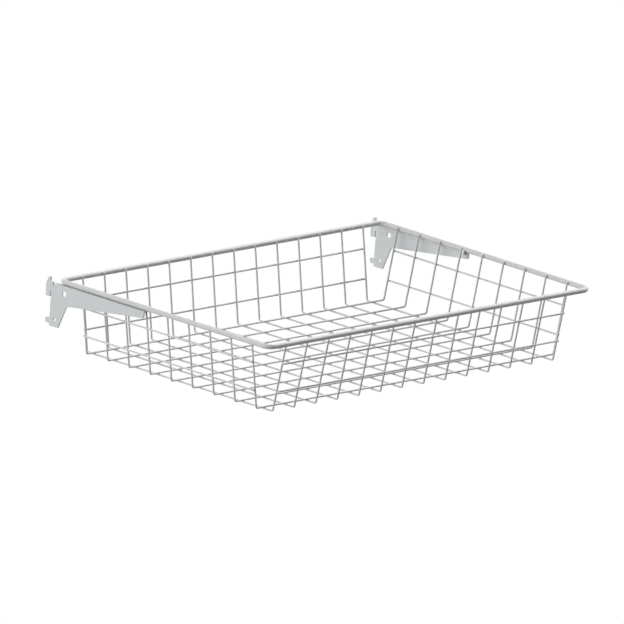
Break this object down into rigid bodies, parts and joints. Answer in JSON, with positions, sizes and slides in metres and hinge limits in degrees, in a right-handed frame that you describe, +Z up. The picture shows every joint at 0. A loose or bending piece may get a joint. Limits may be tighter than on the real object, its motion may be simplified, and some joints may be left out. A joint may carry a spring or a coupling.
{
  "type": "wire wall basket",
  "caption": "Shallow wire-mesh basket with leaning walls and a thick rim rod that lies on hooked sheet-steel wall brackets and lifts off them.",
  "frame": {"origin": "midway between the two brackets, on the front face of the wall uprights, at the height of the slot edge that the hooks hang on", "axes": "+X to the right for someone facing the wall, +Y into the wall, +Z up"},
  "size_m": [0.605, 0.4187, 0.1016],
  "materials": {
    "wire": "satin silver-grey coating",
    "rim": "satin silver-grey coating",
    "bracket": "satin silver-grey coating"
  },
  "bodies": {
    "brackets": {"left_bracket": "bracket", "right_bracket": "bracket"},
    "basket": {"rim_rod": "rim", "depth_wire_01": "wire", "depth_wire_02": "wire", "depth_wire_03": "wire", "depth_wire_04": "wire", "depth_wire_05": "wire", "depth_wire_06": "wire", "depth_wire_07": "wire", "depth_wire_08": "wire", "depth_wire_09": "wire", "depth_wire_10": "wire", "depth_wire_11": "wire", "depth_wire_12": "wire", "depth_wire_13": "wire", "depth_wire_14": "wire", "width_wire_1": "wire", "width_wire_2": "wire", "width_wire_3": "wire", "width_wire_4": "wire", "width_wire_5": "wire", "width_wire_6": "wire", "width_wire_7": "wire", "width_wire_8": "wire", "width_wire_9": "wire", "left_wall_wire_1": "wire", "left_wall_wire_2": "wire", "right_wall_wire_1": "wire", "right_wall_wire_2": "wire", "front_wall_wire_1": "wire", "front_wall_wire_2": "wire", "back_wall_wire_1": "wire", "back_wall_wire_2": "wire"}
  },
  "joints": [
    {"name": "basket_lift", "type": "slide", "parent": "brackets", "child": "basket", "axis": [0, 0, 1], "range_m": [0, 0.11]}
  ]
}
